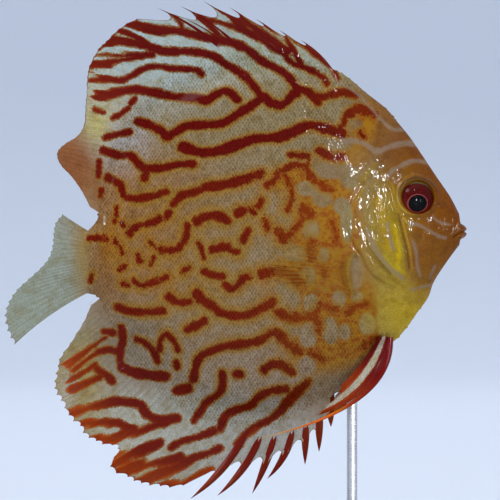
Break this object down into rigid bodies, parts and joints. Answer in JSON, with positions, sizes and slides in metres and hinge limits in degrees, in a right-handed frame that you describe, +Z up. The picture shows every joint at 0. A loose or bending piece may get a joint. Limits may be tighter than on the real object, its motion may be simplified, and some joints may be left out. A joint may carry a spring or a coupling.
{
  "type": "discus fish",
  "caption": "Life-size still model of a discus fish with spread fins, held over a flat oval base by one rod.",
  "frame": {"origin": "middle of the underside of the base, on the floor", "axes": "+X the way that the fish looks, +Y towards its left side, +Z up"},
  "size_m": [0.0974, 0.048, 0.1168],
  "materials": {
    "face_skin": "wet amber skin with thin pale lilac lines",
    "gill_cover_skin": "wet golden yellow skin",
    "scaled_skin": "wet pale cream scales under wavy brick-red stripes, tan to amber towards the breast",
    "fin_web": "thin glossy web, pale bluish cream with dark red stripes along the rays",
    "eye": "glossy dark red iris round a black pupil",
    "stand_wood": "dark stained wood, satin",
    "stand_steel": "brushed"
  },
  "bodies": {
    "root": {"head": "face_skin", "gill_cover_right": "gill_cover_skin", "gill_cover_left": "gill_cover_skin", "trunk": "scaled_skin", "tail_stalk": "scaled_skin", "dorsal_fin": "fin_web", "anal_fin": "fin_web", "tail_fin": "fin_web", "pectoral_fin_right": "fin_web", "pectoral_fin_left": "fin_web", "pelvic_fin_right": "fin_web", "pelvic_fin_left": "fin_web", "eye_right": "eye", "eye_left": "eye", "stand_base": "stand_wood", "stand_rod": "stand_steel"}
  },
  "joints": []
}
